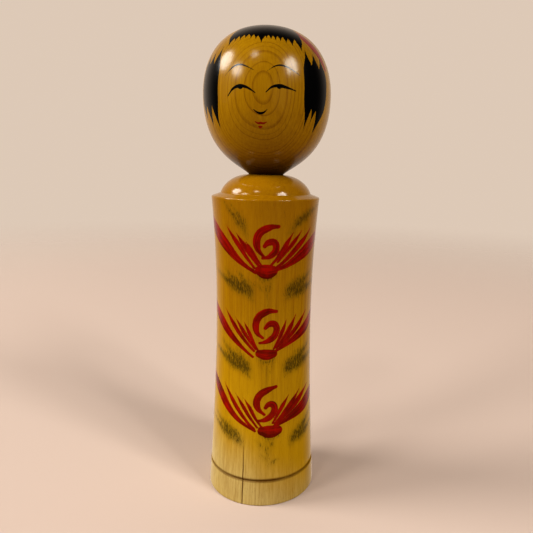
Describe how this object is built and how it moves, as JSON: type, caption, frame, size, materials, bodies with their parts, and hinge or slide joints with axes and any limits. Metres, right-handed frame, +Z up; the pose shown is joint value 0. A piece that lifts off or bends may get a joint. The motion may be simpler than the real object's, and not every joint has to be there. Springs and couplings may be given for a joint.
{
  "type": "kokeshi doll",
  "caption": "Turned wooden doll: a waisted, flower-painted body with a stepped shoulder, and a rounded head that turns on a snapped-in neck.",
  "frame": {"origin": "centre of the ring that the doll stands on, in the plane of that ring", "axes": "+Z up along the turning axis; the painted front of the body looks along -Y; +X is to the right as seen from the front"},
  "size_m": [0.0636, 0.0636, 0.242],
  "materials": {
    "body_wood": "painted flowers under a thin amber varnish",
    "head_wood": "painted face and hair under a gloss amber varnish"
  },
  "bodies": {
    "body": {"body": "body_wood"},
    "head": {"head": "head_wood"}
  },
  "joints": [
    {"name": "head_turn", "type": "hinge", "parent": "body", "child": "head", "pos_m": [0, 0, 0.165], "axis": [0, 0, 1], "continuous": true}
  ]
}
